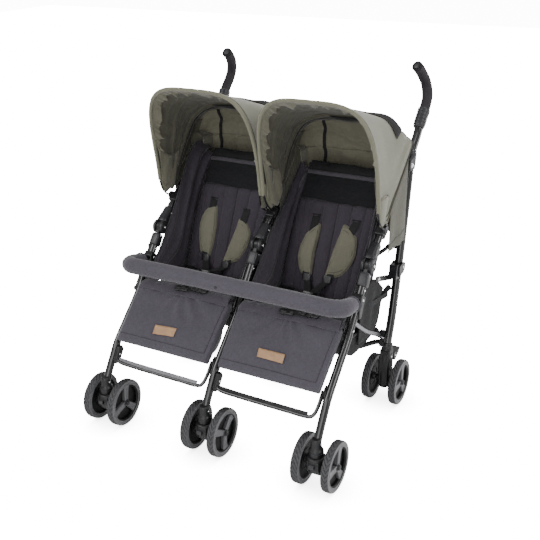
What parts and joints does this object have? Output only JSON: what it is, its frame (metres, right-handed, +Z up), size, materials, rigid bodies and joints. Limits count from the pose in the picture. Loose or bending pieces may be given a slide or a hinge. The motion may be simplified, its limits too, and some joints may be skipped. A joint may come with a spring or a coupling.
{
  "type": "twin pushchair",
  "caption": "Side-by-side twin pushchair on a folding umbrella frame with canopies, reclining seats, legrests, bumper bar, basket and twin swivel wheels.",
  "frame": {"origin": "middle of the footprint on the floor: centre of the bounding box's bottom face", "axes": "+Z up, -Y the front (the way the children face), +X to the children's left, which is the right-hand side seen from the front; left and right in names are as seen from the front"},
  "size_m": [0.7972, 0.82, 0.9964],
  "materials": {
    "painted_tube": "gloss",
    "frame_plastic": "satin",
    "joint_plastic": "satin",
    "foam_grip": "matte",
    "eva_tyre": "matte",
    "link_steel": "satin",
    "khaki_cloth": "matte",
    "charcoal_cloth": "matte",
    "heather_cover": "matte",
    "black_cloth": "matte"
  },
  "bodies": {
    "rear_frame": {"rear_tube_left": "painted_tube", "top_joint_left": "joint_plastic", "rear_axle_housing_left": "frame_plastic", "rear_tube_centre": "painted_tube", "top_joint_centre": "joint_plastic", "rear_axle_housing_centre": "frame_plastic", "rear_tube_right": "painted_tube", "top_joint_right": "joint_plastic", "rear_axle_housing_right": "frame_plastic", "grip_left": "foam_grip", "cross_brace_left_front": "painted_tube", "cross_brace_left_back": "painted_tube", "lower_brace_left": "painted_tube", "grip_right": "foam_grip", "cross_brace_right_front": "painted_tube", "cross_brace_right_back": "painted_tube", "lower_brace_right": "painted_tube", "basket": "black_cloth"},
    "rails": {"rail_left": "painted_tube", "knee_joint_left": "frame_plastic", "rail_centre": "painted_tube", "knee_joint_centre": "frame_plastic", "rail_right": "painted_tube", "knee_joint_right": "frame_plastic", "seat_left": "charcoal_cloth", "seat_right": "charcoal_cloth"},
    "front_legs": {"front_leg_left": "painted_tube", "front_leg_centre": "painted_tube", "front_leg_right": "painted_tube", "footrest_bar_left": "painted_tube", "footrest_bar_right": "painted_tube"},
    "side_links": {"side_link_left": "link_steel", "side_link_right": "link_steel"},
    "caster_left": {"swivel_fork_left": "frame_plastic"},
    "wheel_front_left_a": {"wheel_front_left_a": "eva_tyre"},
    "wheel_rear_left_a": {"wheel_rear_left_a": "eva_tyre"},
    "wheel_front_left_b": {"wheel_front_left_b": "eva_tyre"},
    "wheel_rear_left_b": {"wheel_rear_left_b": "eva_tyre"},
    "caster_centre": {"swivel_fork_centre": "frame_plastic"},
    "wheel_front_centre_a": {"wheel_front_centre_a": "eva_tyre"},
    "wheel_rear_centre_a": {"wheel_rear_centre_a": "eva_tyre"},
    "wheel_front_centre_b": {"wheel_front_centre_b": "eva_tyre"},
    "wheel_rear_centre_b": {"wheel_rear_centre_b": "eva_tyre"},
    "caster_right": {"swivel_fork_right": "frame_plastic"},
    "wheel_front_right_a": {"wheel_front_right_a": "eva_tyre"},
    "wheel_rear_right_a": {"wheel_rear_right_a": "eva_tyre"},
    "wheel_front_right_b": {"wheel_front_right_b": "eva_tyre"},
    "wheel_rear_right_b": {"wheel_rear_right_b": "eva_tyre"},
    "bumper": {"bumper_bar": "heather_cover"},
    "canopy_left": {"canopy_fabric_left": "khaki_cloth", "canopy_bow_left": "frame_plastic"},
    "backrest_left": {"backrest_left": "charcoal_cloth"},
    "legrest_left": {"legrest_left": "heather_cover"},
    "brake_left": {"brake_pedal_left": "joint_plastic"},
    "canopy_right": {"canopy_fabric_right": "khaki_cloth", "canopy_bow_right": "frame_plastic"},
    "backrest_right": {"backrest_right": "charcoal_cloth"},
    "legrest_right": {"legrest_right": "heather_cover"},
    "brake_right": {"brake_pedal_right": "joint_plastic"},
    "catch": {"fold_catch": "frame_plastic"}
  },
  "joints": [
    {"name": "frame_fold", "type": "hinge", "parent": "rear_frame", "child": "rails", "pos_m": [0, 0.22915, 0.724], "axis": [1, 0, 0], "range_deg": [0, 34], "deforming": ["seat_left", "seat_right", "backrest_left", "backrest_right", "basket", "canopy_fabric_left", "canopy_fabric_right"]},
    {"name": "knee_fold", "type": "hinge", "parent": "rails", "child": "front_legs", "pos_m": [0, -0.04185, 0.5155], "axis": [-1, 0, 0], "range_deg": [0, 15]},
    {"name": "side_link_fold", "type": "hinge", "parent": "rear_frame", "child": "side_links", "pos_m": [0, 0.14215, 0.205], "axis": [-1, 0, 0], "range_deg": [0, 58]},
    {"name": "caster_left_swivel", "type": "hinge", "parent": "front_legs", "child": "caster_left", "pos_m": [-0.34, -0.36085, 0.1], "axis": [0, 0, 1], "continuous": true},
    {"name": "wheel_front_left_a_spin", "type": "hinge", "parent": "caster_left", "child": "wheel_front_left_a", "pos_m": [-0.383, -0.33885, 0.07], "axis": [1, 0, 0], "continuous": true},
    {"name": "wheel_rear_left_a_spin", "type": "hinge", "parent": "rear_frame", "child": "wheel_rear_left_a", "pos_m": [-0.383, 0.13615, 0.07], "axis": [1, 0, 0], "continuous": true},
    {"name": "wheel_front_left_b_spin", "type": "hinge", "parent": "caster_left", "child": "wheel_front_left_b", "pos_m": [-0.297, -0.33885, 0.07], "axis": [1, 0, 0], "continuous": true},
    {"name": "wheel_rear_left_b_spin", "type": "hinge", "parent": "rear_frame", "child": "wheel_rear_left_b", "pos_m": [-0.297, 0.13615, 0.07], "axis": [1, 0, 0], "continuous": true},
    {"name": "caster_centre_swivel", "type": "hinge", "parent": "front_legs", "child": "caster_centre", "pos_m": [0, -0.36085, 0.1], "axis": [0, 0, 1], "continuous": true},
    {"name": "wheel_front_centre_a_spin", "type": "hinge", "parent": "caster_centre", "child": "wheel_front_centre_a", "pos_m": [-0.043, -0.33885, 0.07], "axis": [1, 0, 0], "continuous": true},
    {"name": "wheel_rear_centre_a_spin", "type": "hinge", "parent": "rear_frame", "child": "wheel_rear_centre_a", "pos_m": [-0.043, 0.13615, 0.07], "axis": [1, 0, 0], "continuous": true},
    {"name": "wheel_front_centre_b_spin", "type": "hinge", "parent": "caster_centre", "child": "wheel_front_centre_b", "pos_m": [0.043, -0.33885, 0.07], "axis": [1, 0, 0], "continuous": true},
    {"name": "wheel_rear_centre_b_spin", "type": "hinge", "parent": "rear_frame", "child": "wheel_rear_centre_b", "pos_m": [0.043, 0.13615, 0.07], "axis": [1, 0, 0], "continuous": true},
    {"name": "caster_right_swivel", "type": "hinge", "parent": "front_legs", "child": "caster_right", "pos_m": [0.34, -0.36085, 0.1], "axis": [0, 0, 1], "continuous": true},
    {"name": "wheel_front_right_a_spin", "type": "hinge", "parent": "caster_right", "child": "wheel_front_right_a", "pos_m": [0.297, -0.33885, 0.07], "axis": [1, 0, 0], "continuous": true},
    {"name": "wheel_rear_right_a_spin", "type": "hinge", "parent": "rear_frame", "child": "wheel_rear_right_a", "pos_m": [0.297, 0.13615, 0.07], "axis": [1, 0, 0], "continuous": true},
    {"name": "wheel_front_right_b_spin", "type": "hinge", "parent": "caster_right", "child": "wheel_front_right_b", "pos_m": [0.383, -0.33885, 0.07], "axis": [1, 0, 0], "continuous": true},
    {"name": "wheel_rear_right_b_spin", "type": "hinge", "parent": "rear_frame", "child": "wheel_rear_right_b", "pos_m": [0.383, 0.13615, 0.07], "axis": [1, 0, 0], "continuous": true},
    {"name": "bumper_swing", "type": "hinge", "parent": "front_legs", "child": "bumper", "pos_m": [-0.3425, -0.12085, 0.44], "axis": [0, 0, -1], "range_deg": [0, 70]},
    {"name": "canopy_left_fold", "type": "hinge", "parent": "rails", "child": "canopy_left", "pos_m": [-0.17, 0.04415, 0.59], "axis": [-1, 0, 0], "range_deg": [0, 50], "deforming": ["canopy_fabric_left"]},
    {"name": "backrest_left_recline", "type": "hinge", "parent": "rear_frame", "child": "backrest_left", "pos_m": [-0.17, 0.02115, 0.326], "axis": [-1, 0, 0], "range_deg": [0, 20]},
    {"name": "legrest_left_lift", "type": "hinge", "parent": "front_legs", "child": "legrest_left", "pos_m": [-0.17, -0.18085, 0.381], "axis": [-1, 0, 0], "range_deg": [0, 42]},
    {"name": "brake_left_press", "type": "hinge", "parent": "rear_frame", "child": "brake_left", "pos_m": [-0.34, 0.16515, 0.14], "axis": [-1, 0, 0], "range_deg": [0, 14]},
    {"name": "canopy_right_fold", "type": "hinge", "parent": "rails", "child": "canopy_right", "pos_m": [0.17, 0.04415, 0.59], "axis": [-1, 0, 0], "range_deg": [0, 50], "deforming": ["canopy_fabric_right"]},
    {"name": "backrest_right_recline", "type": "hinge", "parent": "rear_frame", "child": "backrest_right", "pos_m": [0.17, 0.02115, 0.326], "axis": [-1, 0, 0], "range_deg": [0, 20]},
    {"name": "legrest_right_lift", "type": "hinge", "parent": "front_legs", "child": "legrest_right", "pos_m": [0.17, -0.18085, 0.381], "axis": [-1, 0, 0], "range_deg": [0, 42]},
    {"name": "brake_right_press", "type": "hinge", "parent": "rear_frame", "child": "brake_right", "pos_m": [0.34, 0.16515, 0.14], "axis": [-1, 0, 0], "range_deg": [0, 14]},
    {"name": "catch_lift", "type": "hinge", "parent": "rear_frame", "child": "catch", "pos_m": [0.34, 0.20265, 0.42], "axis": [-1, 0, 0], "range_deg": [0, 20]}
  ],
  "couplings": [
    {"joint": "knee_fold", "follows": "frame_fold", "ratio": 0.44},
    {"joint": "side_link_fold", "follows": "frame_fold", "ratio": 1.7}
  ]
}
